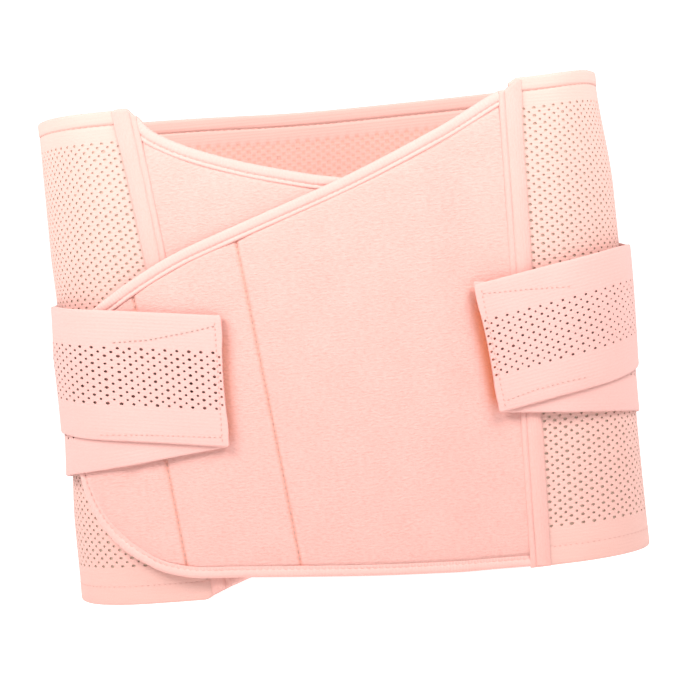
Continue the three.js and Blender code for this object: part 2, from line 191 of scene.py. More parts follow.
def on_loop(u, z, out):
    """Points in millimetres about the loop's own middle. A place is on the front arc, a side arc or
    the back arc, by its reach from the front's middle. The round sides give by a table of heights."""
    u, z, out = np.broadcast_arrays(np.asarray(u, float), z, out)
    depth, side_r, side_c, face_r, face_a = plan_at(z)
    along = u - LOOP * np.round(u / LOOP)
    side, reach = np.sign(along), np.abs(along)
    give = np.where(along < 0, eased(LEFT_GIVE, z), eased(RIGHT_GIVE, z))
    out = out + give * (smooth(reach, *GIVE_COMES) - smooth(reach, *GIVE_GOES))
    front = face_a * reach / FACE_LENGTH
    back = face_a * (LOOP / 2 - reach) / FACE_LENGTH
    turn = face_a + (math.pi - 2 * face_a) * (reach - FACE_LENGTH) / SIDE_LENGTH
    on_front, on_back = reach <= FACE_LENGTH, reach > FACE_LENGTH + SIDE_LENGTH
    angle = np.where(on_front, front, back)
    face_x, face_y = (face_r + out) * np.sin(angle), (face_r - depth) - (face_r + out) * np.cos(angle)
    on_side = ~(on_front | on_back)
    x = np.where(on_side, side_c + (side_r + out) * np.sin(turn), face_x)
    y = np.where(on_side, -(side_r + out) * np.cos(turn), np.where(on_front, face_y, -face_y))
    return np.stack([side * x, y, z], -1)


# The loop's middle, found from the outer edge of the right channel and from the back of the wrap
CHANNEL_EDGE = on_loop(RIGHT_CHANNEL["middle"][1] + CHANNEL_HALF, RIGHT_CHANNEL["top"], CHANNEL_SOLID)[0]
SHIFT_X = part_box("right_bone_channel")[1].x - CHANNEL_EDGE * MM
SHIFT_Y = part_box("mesh_wrap")[1].y - (DEPTH_LOW / 2 + HEM_SOLID) * MM


def place(u, z, out):
    """Points in metres of places on the loop: u along it, z up, out from its inner face."""
    u, z, out = np.broadcast_arrays(np.asarray(u, float), z, out)
    along = u - LOOP * np.round(u / LOOP)
    return on_loop(u, z, out + swell(along, z)) * MM + np.array([SHIFT_X, SHIFT_Y, 0])


def joined(parts):
    """Several (points, uv, quads) parts as one."""
    points, uv, quads, start = [], [], [], 0
    for p, t, q in parts:
        points.append(p.reshape(-1, 3))
        uv.append(t.reshape(-1, 2))
        quads.append(q.reshape(-1, 4) + start)
        start += len(points[-1])
    return np.concatenate(points), np.concatenate(uv), np.concatenate(quads)


def make(name, part, material, slot, *stands_for):
    """A smooth-shaded mesh object of a part that rides on the band and stands for CAD nodes. A part
    may also give painted shade at its points, kept as a point attribute: up to 1 in a hole or in a
    shadow, down to -1 for the painted shade of a dimple behind."""
    points, uv, quads, *depth = part
    mesh = bpy.data.meshes.new(name)
    mesh.vertices.add(len(points))
    mesh.vertices.foreach_set("co", points.astype(np.float32).ravel())
    mesh.loops.add(quads.size)
    mesh.loops.foreach_set("vertex_index", quads.astype(np.int32).ravel())
    mesh.polygons.add(len(quads))
    mesh.polygons.foreach_set("loop_start", np.arange(0, quads.size, 4, dtype=np.int32))
    layer = mesh.uv_layers.new(name="cloth")
    layer.data.foreach_set("uv", uv[quads.ravel()].astype(np.float32).ravel())
    mesh.update(calc_edges=True)
    mesh.validate()
    mesh.shade_smooth()
    for values in depth:
        painted_shade = mesh.attributes.new("painted_shade", "FLOAT", "POINT")
        painted_shade.data.foreach_set("value", values.astype(np.float32))
    mesh.materials.append(material)
    piece = bpy.data.objects.new(name, mesh)
    bpy.context.scene.collection.objects.link(piece)
    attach(piece, "root")
    if stands_for:
        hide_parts(*stands_for)
    return piece


def grid_quads(columns, rows, wraps=False):
    """Quads of a grid whose points run row by row within each column."""
    i = np.arange(columns if wraps else columns - 1)[:, None]
    j = np.arange(rows - 1)[None, :]
    here, beside = i * rows + j, (i + 1) % columns * rows + j
    return np.stack([here, beside, beside + 1, here + 1], -1).reshape(-1, 4)


def wall(u, z, inner, outer):
    """A closed wall: an outer and an inner grid of the same (u, z), joined round their border."""
    u, z, inner, outer = np.broadcast_arrays(u, z, inner, outer)
    columns, rows = u.shape
    count = columns * rows
    points = np.concatenate([place(u, z, outer).reshape(-1, 3), place(u, z, inner).reshape(-1, 3)])
    uv = np.stack([u, z], -1).reshape(-1, 2) / 100
    front = grid_quads(columns, rows)
    i, j = np.arange(columns - 1), np.arange(rows - 1)
    low, high = i * rows, i * rows + rows - 1
    first, last = j, (columns - 1) * rows + j
    border = [
        np.stack([low + count, low + rows + count, low + rows, low], -1),
        np.stack([high, high + rows, high + rows + count, high + count], -1),
        np.stack([first + count, first, first + 1, first + 1 + count], -1),
        np.stack([last, last + count, last + 1 + count, last + 1], -1),
    ]
    return points, np.concatenate([uv, uv]), np.concatenate([front, front[:, ::-1] + count, *border])


CELL_CORNERS = np.array([(0, 0), (0.5, 0), (1, 0), (1, 0.5), (1, 1), (0.5, 1), (0, 1), (0, 0.5)])
EIGHT_SIDES = [[0, 1, 2, 3], [0, 3, 4, 7], [4, 5, 6, 7]]
# Least painted shade on the holes' walls, darkening them towards the cloth's painted shade colour
WALL_PAINTED_SHADE = 0.55


def pierced(columns, rows, below, above, wide, tall, at, kind):
    """Cloth with holes. In cell counts (s, t), columns of cells stand side by side, every second one
    half a cell higher, and each full cell has an eight-sided hole. wide and tall give the hole's half
    size for even and odd columns. Plain rows go on below and above. at(s, t, face, rim) gives u, z, out,
    two measures of the cloth and the painted shade in a hole, for the outer face 0 and the inner face 1,
    with rim 1 on a hole's edge. kind(column, row) is 0 for a hole that goes through, 1 for one that ends
    on a floor, face 2, and 2 for one with a dimple behind its floor. The holes' walls get at least the
    wall's painted shade, so the holes are painted darker than the cloth. The holes' walls and the two
    ends have points of their own, so the faces stay flat up to them."""
    i, j = np.meshgrid(np.arange(columns), np.arange(rows), indexing="ij")
    keep = (i % 2 == 0) | (j < rows - 1)
    i, j = i[keep], j[keep]
    odd, kinds = i % 2, kind(i, j)
    base = np.stack([i, j + 0.5 * odd], -1)[:, None, :]
    edge = base + CELL_CORNERS
    angle = np.radians(np.arange(-135, 225, 45))
    vary = 1 + 0.07 * np.random.default_rng(columns * 7 + rows).standard_normal((len(i), 1))
    half_wide, half_tall = np.asarray(wide)[odd][:, None] * vary, np.asarray(tall)[odd][:, None] * vary
    ring = base + 0.5 + np.stack([half_wide * np.cos(angle), half_tall * np.sin(angle)], -1)
    ahead = np.roll(np.arange(8), -1)
    cells = np.stack([edge, edge[:, ahead], ring[:, ahead], ring], 2)
    walls = np.stack([ring, ring[:, ahead], ring[:, ahead], ring], 2)
    half = np.arange(1, columns, 2)[:, None, None]
    patch = np.array([[(0, 0), (0.5, 0), (0.5, 0.5), (0, 0.5)], [(0.5, 0), (1, 0), (1, 0.5), (0.5, 0.5)]])
    low_half = np.stack([half + patch[..., 0], patch[..., 1] + 0 * half], -1).reshape(-1, 4, 2)
    step = np.arange(2 * columns) / 2
    plain_rows = np.concatenate([np.arange(-below, 0), np.arange(rows, rows + above)])
    p, q = (x.reshape(-1, 1) for x in np.meshgrid(step, plain_rows, indexing="ij"))
    plain = np.stack([p + np.array([0, 0.5, 0.5, 0]), q + np.array([0, 0, 1, 1])], -1)
    rest = np.concatenate([low_half, low_half + np.array([0, rows - 0.5]), plain])
    levels = np.concatenate([
        np.arange(-below, 0), np.arange(0, rows, 0.5), np.arange(rows, rows + above + 1),
    ])

    def border(s_from, t_from, s_to, t_to):
        first = np.stack(np.broadcast_arrays(s_from, t_from), -1).astype(float)
        last = np.stack(np.broadcast_arrays(s_to, t_to), -1).astype(float)
        return np.stack([first, last, last, first], 1)

    closed, lined, dimpled = kinds > 0, kinds == 1, kinds == 2
    none, full = (0, 0, 0, 0), (1, 1, 1, 1)
    groups = [
        (cells, none, (0, 0, 1, 1), 0),
        (rest, none, none, 0),
        (cells[~lined][:, :, ::-1], full, (1, 1, 0, 0), 0),
        (edge[lined][:, EIGHT_SIDES][:, :, ::-1], full, none, 0),
        (rest[:, ::-1], full, none, 0),
        (walls[~closed], (0, 0, 1, 1), full, 1),
        (walls[closed], (0, 0, 2, 2), full, 1),
        (ring[closed][:, EIGHT_SIDES], (2, 2, 2, 2), full, 0),
        (ring[dimpled][:, EIGHT_SIDES][:, :, ::-1], full, full, 0),
        (border(step, -below, step + 0.5, -below), (1, 1, 0, 0), none, 0),
        (border(step, rows + above, step + 0.5, rows + above), (0, 0, 1, 1), none, 0),
        (border(0, levels[1:], 0, levels[:-1]), (0, 0, 1, 1), none, 2),
        (border(columns, levels[:-1], columns, levels[1:]), (0, 0, 1, 1), none, 2),
    ]
    spots = np.concatenate([g.reshape(-1, 2) for g, _, _, _ in groups])
    faces = np.concatenate([np.tile(f, g.size // 8) for g, f, _, _ in groups])
    rims = np.concatenate([np.tile(r, g.size // 8) for g, _, r, _ in groups])
    skin = np.concatenate([np.full(g.size // 2, k) for g, _, _, k in groups])
    fine = np.round((spots + 100) * 4000).astype(np.int64)
    key = (fine[:, 0] * 4_000_000 + fine[:, 1]) * 9 + faces * 3 + skin
    _, pick, index = np.unique(key, return_index=True, return_inverse=True)
    faces, rims, skin = faces[pick], rims[pick], skin[pick]
    u, z, out, along, across, depth = at(spots[pick, 0], spots[pick, 1], faces, rims)
    depth = np.where(skin == 1, np.maximum(depth, WALL_PAINTED_SHADE), depth)
    return place(u, z, out), np.stack([along, across], -1) / 100, index.reshape(-1, 4), depth


# Materials
BANDS_PER_SCALE = 3.18  # lines per unit of a wave texture of scale 1
MIX_NUMBERS, MIX_COLOURS = (2, 3), (6, 7)  # sockets of a mix node's two ends
MOTTLING = 0.18  # share of the slow noise
TINT_DEEP, TINT_PLAIN = 0.3, 0.62  # values of the noise at the deep and at the plain colour


def shader(name, colour, roughness, sheen=0.0):
    """A material with its main shader, and a function that adds nodes to it."""
    material = bpy.data.materials.new(name)
    material.use_nodes = True
    tree = material.node_tree
    main = tree.nodes["Principled BSDF"]
    main.inputs["Base Color"].default_value = (*colour, 1)
    main.inputs["Roughness"].default_value = roughness
    main.inputs["Specular IOR Level"].default_value = 0.25
    main.inputs["Sheen Weight"].default_value = sheen
    main.inputs["Sheen Roughness"].default_value = 0.6

    def node(kind, **values):
        made = tree.nodes.new(kind)
        for key, value in values.items():
            if key in made.inputs:
                made.inputs[key].default_value = value
            else:
                setattr(made, key, value)
        return made

    return material, main, node, tree.links.new


def cloth(name, colour, deep, grain, ribs, roughness, sheen, bump, painted_shade_colour=None, dimple=None):
    """Cloth: colour goes to deep by a fine grain of noise stretched by grain (across, up) per UV unit
    of 100 mm and by slow mottling; ribs is the count of raised lines in 100 mm (across, up). A painted
    shade colour takes over by the points' painted shade value, in holes and on their floors and where a
    flap lies in a strap tip's shadow or along a seam, and the dimple colour, painted shade too, in the
    dimples behind."""
    material, main, node, link = shader(name, colour, roughness, sheen)
    where = node("ShaderNodeUVMap", uv_map="cloth")
    stretch = node("ShaderNodeMapping", Scale=(*grain, 1))
    link(where.outputs["UV"], stretch.inputs["Vector"])
    fine = node("ShaderNodeTexNoise", Scale=1.0, Detail=4.0, Roughness=0.62)
    link(stretch.outputs["Vector"], fine.inputs["Vector"])
    slow = node("ShaderNodeTexNoise", Scale=5.5, Detail=3.0, Roughness=0.5)
    link(where.outputs["UV"], slow.inputs["Vector"])
    blend = node("ShaderNodeMix", data_type="FLOAT")
    blend.inputs[0].default_value = MOTTLING
    for noise, end in zip((fine, slow), MIX_NUMBERS):
        link(noise.outputs["Fac"], blend.inputs[end])
    tint = node("ShaderNodeValToRGB")
    for stop, at, shade in zip(tint.color_ramp.elements, (TINT_DEEP, TINT_PLAIN), (deep, colour)):
        stop.position = at
        stop.color = (*shade, 1)
    link(blend.outputs[0], tint.inputs["Fac"])
    shown = tint.outputs["Color"]
    # Painted shade: a positive painted shade value darkens the colour towards the painted shade colour, a
    # negative one towards the dimple's painted shade colour
    for way, dark in ((1, painted_shade_colour), (-1, dimple)):
        if dark:
            depth = node("ShaderNodeAttribute", attribute_name="painted_shade")
            share = node("ShaderNodeMath", operation="MULTIPLY")
            share.inputs[1].default_value = way
            darken = node("ShaderNodeMix", data_type="RGBA")
            plain_end, dark_end = MIX_COLOURS
            darken.inputs[dark_end].default_value = (*dark, 1)
            link(depth.outputs["Fac"], share.inputs[0])
            link(share.outputs[0], darken.inputs[0])
            link(shown, darken.inputs[plain_end])
            shown = darken.outputs[2]
    link(shown, main.inputs["Base Color"])
    height = fine.outputs["Fac"]
    for axis, count in zip(("X", "Y"), ribs):
        if count:
            lines = node(
                "ShaderNodeTexWave", wave_type="BANDS", bands_direction=axis,
                Scale=count / BANDS_PER_SCALE, Distortion=0.6, Detail=1.0,
            )
            link(where.outputs["UV"], lines.inputs["Vector"])
            total = node("ShaderNodeMath", operation="ADD")
            link(height, total.inputs[0])
            link(lines.outputs["Fac"], total.inputs[1])
            height = total.outputs[0]
    relief = node("ShaderNodeBump", Strength=bump, Distance=0.0004)
    link(height, relief.inputs["Height"])
    link(relief.outputs["Normal"], main.inputs["Normal"])
    return material


def thread(name, colour, deep):
    """Sewing thread: cloth of a very fine grain, without ribs."""
    return cloth(name, colour, deep, grain=(300, 300), ribs=(0, 0), roughness=0.6, sheen=0.0, bump=0.2)


# Painted shade colours: the flap's before the strap tips and along its seams, and the mesh's and the
# strap's in holes, on hole floors and in the dimples behind
FLAP_PAINTED_SHADE = (0.80, 0.24, 0.12)
MESH_PAINTED_HOLE_SHADE, MESH_PAINTED_DIMPLE_SHADE, STRAP_PAINTED_HOLE_SHADE = (0.60, 0.44, 0.36), (0.70, 0.375, 0.305), (0.46, 0.34, 0.28)
FLAP = cloth(
    "brushed flap cloth", (0.78, 0.43, 0.383), (0.71, 0.345, 0.298), grain=(42, 105), ribs=(0, 0),
    roughness=0.95, sheen=0.2, bump=1.2, painted_shade_colour=FLAP_PAINTED_SHADE,
)
MESH = cloth(
    "elastic mesh", (0.755, 0.445, 0.39), (0.725, 0.405, 0.35), grain=(160, 160), ribs=(0, 62),
    roughness=0.85, sheen=0.1, bump=0.12, painted_shade_colour=MESH_PAINTED_HOLE_SHADE, dimple=MESH_PAINTED_DIMPLE_SHADE,
)
STRAP = cloth(
    "strap elastic", (0.765, 0.435, 0.395), (0.735, 0.395, 0.352), grain=(70, 160), ribs=(0, 58),
    roughness=0.8, sheen=0.1, bump=0.12, painted_shade_colour=STRAP_PAINTED_HOLE_SHADE,
)
TAPE = cloth(
    "channel tape", (0.765, 0.415, 0.37), (0.735, 0.375, 0.325), grain=(120, 60), ribs=(70, 0),
    roughness=0.85, sheen=0.15, bump=0.2,
)
BINDING = cloth(
    "binding tape", (0.80, 0.45, 0.405), (0.78, 0.415, 0.365), grain=(120, 120), ribs=(62, 0),
    roughness=0.75, sheen=0.1, bump=0.2,
)
HOOKS = cloth(
    "hook tape", (0.78, 0.38, 0.31), (0.74, 0.31, 0.24), grain=(300, 300), ribs=(90, 90),
    roughness=0.7, sheen=0.0, bump=0.6,
)
THREAD = thread("sewing thread", (0.72, 0.41, 0.36), (0.68, 0.36, 0.31))
STRAP_THREAD = thread("strap thread", (0.62, 0.38, 0.33), (0.56, 0.32, 0.27))
DARK_THREAD = thread("bold thread", (0.50, 0.33, 0.29), (0.44, 0.27, 0.23))

# The mesh wrap in three lengths, each a pierced cloth with folded hems
WRAP_FROM = np.array(RIGHT_CHANNEL["middle"]) + GAP / 2
WRAP_TO = LOOP + np.array(LEFT_CHANNEL["middle"]) - GAP / 2
WRAP_COLUMNS, WRAP_ROWS = 192, 53
WRAP_PARTS = {"wrap_right": 64, "wrap_back": 66, "wrap_left": 62}
WRAP_HOLES = (0.36, 0.265), (0.185, 0.155)
WRAP_HALF, WRAP_MIDDLE = 0.8, 1.05

# Hems: height, gain in half the thickness and depth of the pinched hem line
HEM_LOW, HEM_HIGH = 9.0, 7.0
HEMS = (HEM_LOW, 0.1, 0.12), (HEM_HIGH, 0.42, 0.55)

# Heights of the rows of points below the mesh, over the rim, and above it, under the top edge
MESH_LOW, MESH_HIGH = 17.4, 14.0
LOW_LEVELS = np.array([0, 0.2, 0.6, 1.3, 3, 5.5, 8, 8.6, 9, 9.4, 10, 12, 14.5, MESH_LOW])
HIGH_LEVELS = np.array([MESH_HIGH, 11.5, 9, 7.8, 7.3, 7, 6.7, 6.2, 4.5, 2.6, 1.3, 0.6, 0.2, 0])

# Holes of the wrap
OUTER_DIP, INNER_DIP = 0.1, 0.42  # how far the faces dip towards a hole
# The holes end on floors painted in full shade, sheets put where the open mesh shows only shade behind it
FLOOR_THICK, FLOOR_GAIN, FLOOR_GROWS = 0.3, 0.24, (120, 235)  # a floor, its gain, and between which z
DIMPLED_FROM = 26  # first row with dimples behind


def wrap_along(share, z):
    """u of a column's share of the way from the right channel's slanted line to the left one's."""
    start = WRAP_FROM[0] + (WRAP_FROM[1] - WRAP_FROM[0]) * z / HEIGHT
    return start + share * (WRAP_TO[0] + (WRAP_TO[1] - WRAP_TO[0]) * z / HEIGHT - start)


def wrap_at(first):
    """u, z and out of the wrap from a first column on. Half the thickness is greater in the hems,
    pinched along the hem line, and rounded to nothing at the edges."""

    def at(s, t, face, rim):
        share = (s + first) / WRAP_COLUMNS
        top = eased(TOP_EDGE, wrap_along(share, HEIGHT))
        foot = eased(RIM_EDGE, wrap_along(share, 0.0))
        low = foot + np.interp(t, np.arange(1 - len(LOW_LEVELS), 1), LOW_LEVELS) * (1 - foot / MESH_LOW)
        high = top - np.interp(t, WRAP_ROWS + np.arange(len(HIGH_LEVELS)), HIGH_LEVELS)
        mesh = MESH_LOW + (top - MESH_HIGH - MESH_LOW) * t / WRAP_ROWS
        z = np.where(t <= 0, low, np.where(t >= WRAP_ROWS, high, mesh))
        half = np.full_like(z, WRAP_HALF)
        for edge, (hem, rise, pinch) in zip((z - foot, top - z), HEMS):
            half = half + rise * (1 - smooth(edge, hem - 0.4, hem + 0.4))
            half = half - bell(edge - hem, pinch, 0.45)
            half = half * rounded(edge, 1.3, 0.02)
        dip = np.where(face == 1, INNER_DIP, OUTER_DIP) * rim
        floor = half - INNER_DIP - FLOOR_THICK - FLOOR_GAIN * smooth(z, *FLOOR_GROWS)
        out = WRAP_MIDDLE + np.where(face == 0, half - dip, np.where(face == 1, dip - half, -floor))
        u = wrap_along(share, z)
        # Painted shade: full on the holes' floors, and the dimple's painted shade, as a negative value, on
        # the inner face's hole rims
        depth = np.where(face == 2, 1, -rim * (face == 1))
        return u, z, out, u, z, depth

    return at


wrap, start = [], 0
for name, count in WRAP_PARTS.items():
    part = pierced(
        count, WRAP_ROWS, len(LOW_LEVELS) - 1, len(HIGH_LEVELS) - 1, *WRAP_HOLES, wrap_at(start),
        lambda column, row: 1 + (row >= DIMPLED_FROM),
    )
    wrap.append(make(name, part, MESH, "mesh_elastic", "mesh_wrap"))
    start += count

# The flaps and their bindings
BINDING_WIDTH, BINDING_SEAM = 7.2, 5.1  # from the edge to the tape's end and to its stitches
NARROWER, NARROWS = 0.22, (0.44, 0.56)  # share of the width lost, and where along the edge
# Shade painted on the flaps where the strap tips' shadows fall:
SHADE_REACH = 6  # how far before a strap's tip its shade ends
SHADE_COMES, SHADE_GOES = (-0.02, 0.15), (0.75, 1.05)  # in shares of the tip's height
EDGE_SINK, EDGE_SINK_LENGTH = 0.55, 3.0  # how a panel sinks to its binding
ROW_CROWDING = 0.35  # how much closer a panel's rows lie to its edges
UNDER_COLUMNS, OVER_COLUMNS, PANEL_ROWS = 110, 190, 56
SEAM_NARROW, SEAM_WIDE = (0.8, 0.8), (0.5, 5.5)  # depth and width of a seam's two bells
# A seam's shade is painted shade along its groove
SEAM_PUCKER, SEAM_PAINTED_SHADE = (0.13, 4.0), (0.3, 1.0)  # depth and width of its puckers and of its shade


def curve(points, t):
    """Point at t from 0 to 1 of the uniform Catmull-Rom curve through the points."""
    points = np.asarray(points, float)
    last = len(points) - 1
    k = np.clip(np.floor(t * last).astype(int), 0, last - 1)
    w = (t * last - k)[:, None]
    p0, p1 = points[np.maximum(k - 1, 0)], points[k]
    p2, p3 = points[k + 1], points[np.minimum(k + 2, last)]
    v0, v1 = (p2 - p0) / 2, (p3 - p1) / 2
    return (2 * p1 - 2 * p2 + v0 + v1) * w**3 + (-3 * p1 + 3 * p2 - 2 * v0 - v1) * w**2 + v0 * w + p1


def outline(rows, starts_at_top):
    """Free edge of a flap from channel to channel, anticlockwise seen from the front."""
    low, high = [r[:2] for r in rows], [r[2:] for r in rows]
    first, second = (high, low) if starts_at_top else (low, high)
    return np.array(first + second[::-1], float)


def beside(points, t, distance):
    """Places beside the curve, on the flap's side of it."""
    step = 1e-4
    ahead = curve(points, np.clip(t + step, 0, 1)) - curve(points, np.clip(t - step, 0, 1))
    ahead /= np.linalg.norm(ahead, axis=-1, keepdims=True)
    return curve(points, t) + np.stack([-ahead[:, 1], ahead[:, 0]], -1) * np.reshape(distance, (-1, 1))


def narrowed(t, starts_at_top):
    """Share of the binding's full width: less along the lower edge of the flap that lies on top."""
    return 1 - NARROWER * smooth(t, *NARROWS) if starts_at_top else np.ones_like(t)


def painted_tip_shade(u, z):
    """Strength of the shade painted on a flap's cloth where a strap's tip shades it: full up to the tip,
    gone at a reach before it, and weaker at the tip's corners."""
    shade = np.zeros_like(u)
    for strap in STRAPS.values():
        up = (z - strap["low_z"]) / BAND_WIDTH
        tip = strap["low_u"] + (strap["high_u"] - strap["low_u"]) * np.clip(up, 0, 1)
        before = tip - strap["side"] * u
        tall = smooth(up, *SHADE_COMES) * (1 - smooth(up, *SHADE_GOES))
        shade = shade + strap["shade"] * tall * (1 - smooth(before, 0, SHADE_REACH))
    return shade


def flap_panel(rows, starts_at_top, lift, seams, columns):
    """Padded panel and the painted shade of its points, before the strap tips and along each seam:
    columns go from lower to upper edge. The outer face sinks to the binding by an exponential of the
    distance, and along each seam by a narrow and a wide bell with puckers."""
    points = outline(rows, starts_at_top)
    spans = len(points) - 1
    last = (len(rows) - 1) / spans
    t = np.linspace(0, last, columns)
    fine = np.array([0, 0.25, 0.5, 0.8, 1.2, 1.8, 2.6, 3.6]) / 30
    for seam in seams:
        t = np.concatenate([t, (seam + fine) / spans, (seam - fine) / spans])
    t = np.unique(np.round(t, 6))
    inset = BINDING_WIDTH - 0.5
    first = beside(points, t, inset * narrowed(t, starts_at_top))
    second = beside(points, 1 - t, inset * narrowed(1 - t, starts_at_top))
    low, high = (second, first) if starts_at_top else (first, second)
    if starts_at_top:
        low, high = low[::-1], high[::-1]
    share = np.linspace(0, 1, PANEL_ROWS)
    share = share - ROW_CROWDING * np.sin(2 * math.pi * share) / (2 * math.pi)
    place_uz = low[:, None] + (high - low)[:, None] * share[None, :, None]
    u, z = place_uz[..., 0], place_uz[..., 1]
    tall = np.linalg.norm(high - low, axis=1)[:, None]
    near = np.minimum(share * tall, (1 - share) * tall)
    sink = EDGE_SINK * np.exp(-near / EDGE_SINK_LENGTH)
    shade = painted_tip_shade(u, z)
    for seam in seams:
        a, b = np.array(rows[seam][:2]), np.array(rows[seam][2:])
        along = (b - a) / np.linalg.norm(b - a)
        away = (u - a[0]) * along[1] - (z - a[1]) * along[0]
        run = (u - a[0]) * along[0] + (z - a[1]) * along[1]
        pucker = np.sin(2 * math.pi * run / 5.3 + 1.2 * np.sin(run / 17))
        deep, wide = SEAM_PUCKER
        sink = sink + bell(away, *SEAM_NARROW) + bell(away, *SEAM_WIDE)
        sink = sink + bell(away, deep * pucker, wide) * np.clip(np.abs(away), 0, 1)
        # Painted shade along the seam's groove
        shade = shade + bell(away, *SEAM_PAINTED_SHADE)
    inner = eased(lift, u)
    shade = shade.ravel()
    return *wall(u, z, inner, inner + FLAP_THICK + PADDING - sink), np.concatenate([shade, 0 * shade])


# Section of the binding tape: distance from the flap's edge and height over the flap's inner face
BINDING_SECTION = np.array([
    (0.9, 0.0), (3.0, 0.0), (5.2, 0.0), (6.9, 0.0), (7.2, 0.5), (7.25, 1.5), (7.15, 2.15),
    (6.8, 2.45), (6.3, 2.54), (5.8, 2.48), (5.4, 2.3), (BINDING_SEAM, 2.0), (4.8, 2.4), (4.3, 2.68),
    (3.5, 2.82), (2.5, 2.86), (1.5, 2.8), (0.8, 2.5), (0.3, 1.9), (0.08, 1.2), (0.18, 0.6), (0.45, 0.2),
])


def even_run(points, step):
    """Values of t at even distances along the curve, and those distances."""
    t = np.linspace(0, 1, 4000)
    way = np.concatenate([[0], np.cumsum(np.linalg.norm(np.diff(curve(points, t), axis=0), axis=1))])
    run = np.linspace(0, way[-1], int(way[-1] / step))
    return np.interp(run, way, t), run


def flap_binding(rows, starts_at_top, lift):
    """Tape: its section carried along the edge, with small puckers between stitches."""
    points = outline(rows, starts_at_top)
    t, run = even_run(points, 1.2)
    count = len(BINDING_SECTION)
    across, up = BINDING_SECTION.T
    width = narrowed(t, starts_at_top)
    spots = np.stack([beside(points, t, a * width) for a in across], 1)
    pucker = np.sin(2 * math.pi * run / 3.2 + 1.5 * np.sin(run / 21))[:, None]
    rise = up + bell(across - BINDING_SEAM, 0.09 * pucker * (up > 1.5), 1.8)
    rise = rise + 0.1 * np.sin(run / 9.0 + 2 * np.sin(run / 31))[:, None] * (up > 1.0)
    flat_lip = ((1 - width) / NARROWER)[:, None] * ((across > 5.2) & (up > 1))
    rise = rise + (np.minimum(rise, 2.0) - rise) * flat_lip
    u, z = spots[..., 0], spots[..., 1]
    xyz = place(u, z, eased(lift, u) + rise)
    girth = np.concatenate([[0], np.cumsum(np.linalg.norm(np.diff(BINDING_SECTION, axis=0), axis=1))])
    uv = np.stack(np.broadcast_arrays(run[:, None], girth[None, :]), -1) / 100
    i, k = np.meshgrid(np.arange(len(t) - 1), np.arange(count), indexing="ij")
    here, next_k = i * count + k, i * count + (k + 1) % count
    quads = np.stack([here, next_k, next_k + count, here + count], -1).reshape(-1, 4)
    fan = np.arange(0, count // 2 - 1)
    cap = np.stack([fan, count - 1 - fan, count - 2 - fan, fan + 1], -1)
    end = (len(t) - 1) * count
    return xyz.reshape(-1, 3), uv.reshape(-1, 2), np.concatenate([quads, cap, cap[:, ::-1] + end])


under_part = flap_panel(*UNDER_FLAP, [], UNDER_COLUMNS)
under_panel = make("under_panel", under_part, FLAP, "flap_fabric", "under_flap")
under_tape = make("under_tape", flap_binding(*UNDER_FLAP), BINDING, "binding_tape", "under_flap_binding")
over_part = flap_panel(*OVER_FLAP, OVER_SEAMS, OVER_COLUMNS)
over_panel = make("over_panel", over_part, FLAP, "flap_fabric", "over_flap")
over_tape = make("over_tape", flap_binding(*OVER_FLAP), BINDING, "binding_tape", "over_flap_binding")

# The bone channels: their profile is offsets towards the flap, and thickness there
CHANNEL_SEAM = 2.35
CHANNEL_PROFILE = np.array([
    (-CHANNEL_HALF, 0.06), (-5.1, 0.16), (-4.6, 0.36), (-3.9, 0.62), (-3.0, 0.88), (-2.0, 1.06),
    (-0.8, 1.16), (0.4, 1.16), (1.3, 1.05), (1.8, 0.9), (2.1, 0.72), (CHANNEL_SEAM, 0.42), (2.6, 0.7),
    (2.9, 0.88), (3.5, 1.0), (4.2, 0.98), (4.7, 0.86), (5.1, 0.62), (5.3, 0.36), (CHANNEL_HALF, 0.12),
])
CHANNEL_ENDS = np.array([0, 0.15, 0.5, 1, 1.6])  # rows of points beside a strip's two ends
CHANNEL_GAIN, CHANNEL_GAINS = 0.22, (205, 247)  # how much wider the mesh's side gets, between which z
CORNER_FALL, CORNER_FROM = 0.9, 3.2  # how far the corner on the mesh's side falls, from which offset


def channel_u(channel, z, offset):
    """u at a height and at an offset to the viewer's right from a channel's middle line."""
    low, high = channel["middle"]
    return low + (high - low) * z / HEIGHT + offset


def bone_channel(channel):
    """Strip with one sewn line near the flap: its profile across is carried up the slanted middle
    line, with small gathers near the foot. The top falls towards the flap by an eased step."""
    across, thick = CHANNEL_PROFILE.T
    if channel["flap"] < 0:
        across, thick = across[::-1], thick[::-1]
    offset = across * channel["flap"]
    top = channel["top"]
    levels = [CHANNEL_ENDS, np.linspace(2.4, top - 2.2, 120), top - CHANNEL_ENDS[::-1]]
    share = np.concatenate(levels) / top
    start, end, drop = channel["fall"]
    corner = CORNER_FALL * smooth(-across, CORNER_FROM, CHANNEL_HALF)
    tip = (top - drop * smooth(across, start, end) - corner)[:, None]
    foot = np.interp(offset, [-CHANNEL_HALF, CHANNEL_HALF], channel["foot"])[:, None]
    z = foot + (tip - foot) * share
    wider = 1 + CHANNEL_GAIN * smooth(z, *CHANNEL_GAINS) * (across < 0)[:, None]
    u = channel_u(channel, z, offset[:, None] * wider)
    thick = np.broadcast_to(thick[:, None], z.shape)
    gather = np.exp(-(z - foot) / 8.0) * np.sin(2 * math.pi * (z / 5.5 + offset[:, None] / 9))
    pucker = np.sin(2 * math.pi * z / 3.1 + 1.4 * np.sin(z / 11)) * 0.05
    uneven = 1 + 0.1 * np.sin(z / 13.0 + 2 * np.sin(z / 29))
    thick = thick * uneven + 0.3 * gather * np.minimum(thick, 1) + pucker * thick
    thick = np.maximum(thick * rounded(np.minimum(z - foot, tip - z), 1.6, 0.03), 0.05)
    return wall(u, z, np.full_like(z, CHANNEL_BASE), CHANNEL_BASE + thick)


